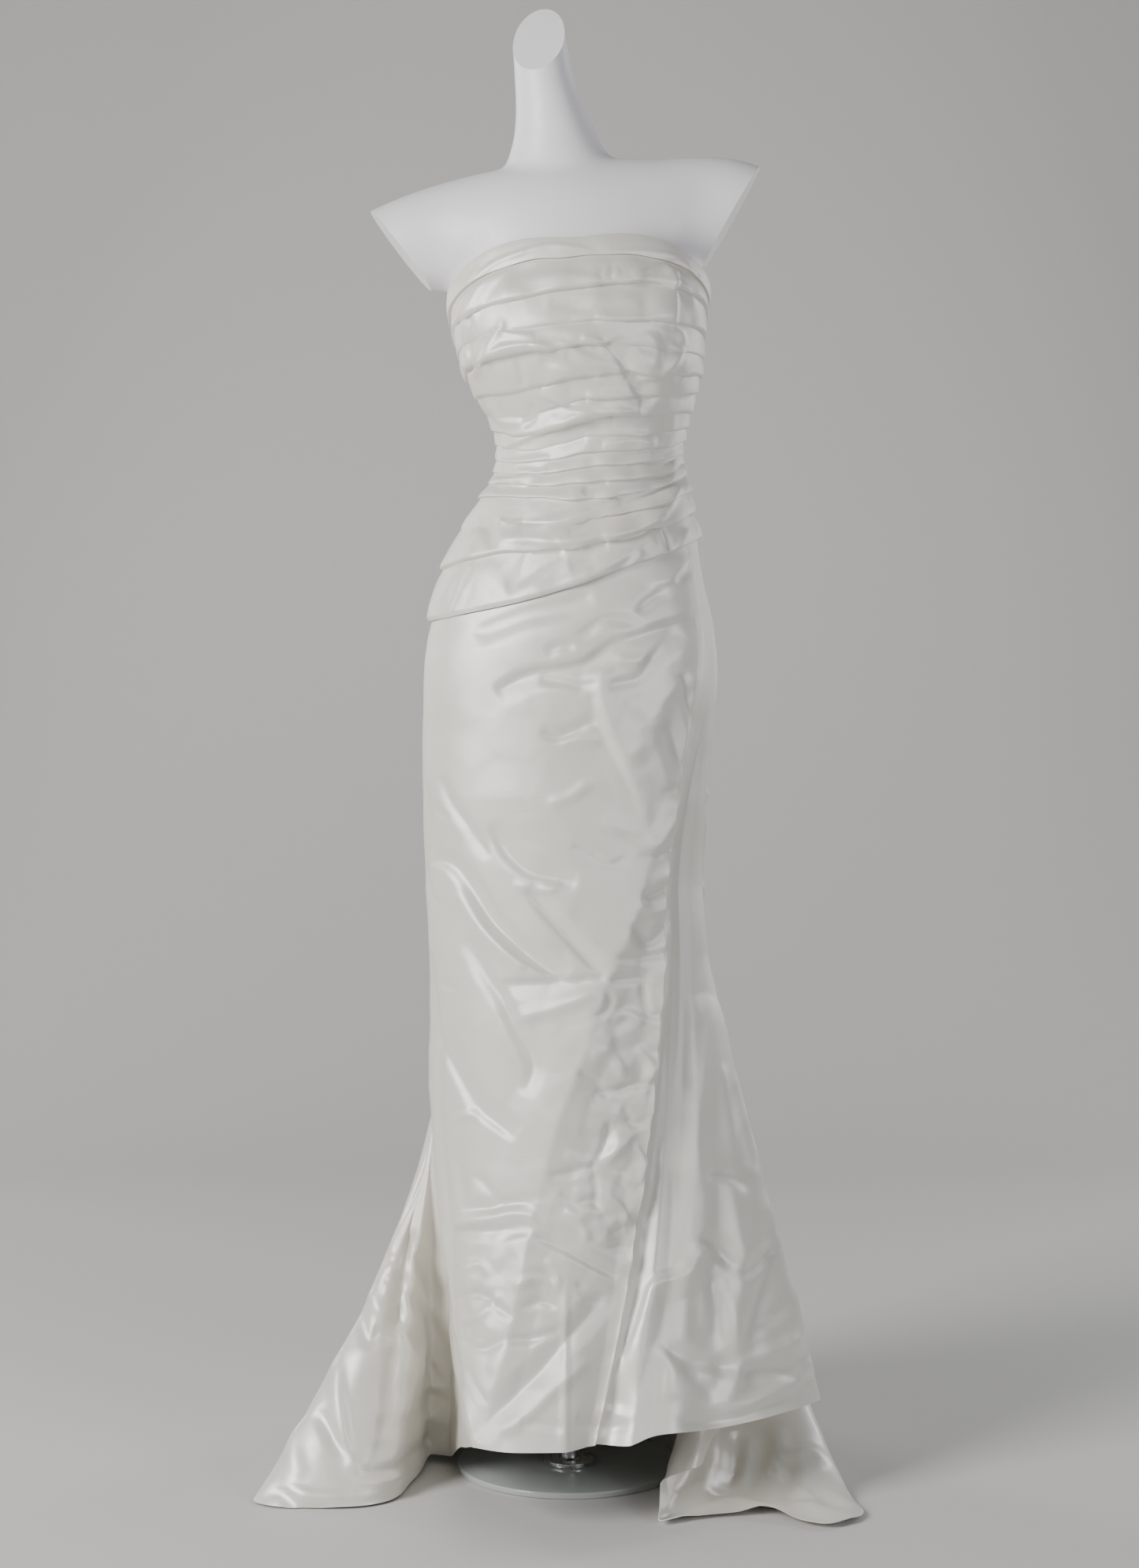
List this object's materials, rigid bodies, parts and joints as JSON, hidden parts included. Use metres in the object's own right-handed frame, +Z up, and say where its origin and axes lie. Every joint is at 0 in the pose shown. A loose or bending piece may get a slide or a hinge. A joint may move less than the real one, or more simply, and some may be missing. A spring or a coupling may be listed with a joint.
{
  "type": "mermaid gown on a dress form",
  "caption": "Strapless ruched gown with a dropped slanting seam and a flaring trained skirt, worn by a limbless dress form on a round stand.",
  "frame": {"origin": "on the floor, under the middle of the dress form", "axes": "+Z up, -Y out of the gown's front, +X to the right as the front is looked at"},
  "size_m": [0.732, 0.818, 1.7958],
  "materials": {
    "ivory_satin": "ivory silk satin with a soft sheen",
    "white_form": "matte white paint on fibreglass",
    "steel": "brushed steel tube",
    "clear_glass": "clear polished glass plate"
  },
  "bodies": {
    "root": {"neckline_band": "ivory_satin", "bodice_front": "ivory_satin", "bodice_back_left": "ivory_satin", "bodice_back_right": "ivory_satin", "skirt_front": "ivory_satin", "skirt_back_left": "ivory_satin", "skirt_back_right": "ivory_satin", "dress_form": "white_form", "stand_rod": "steel", "stand_base": "clear_glass"}
  },
  "joints": []
}
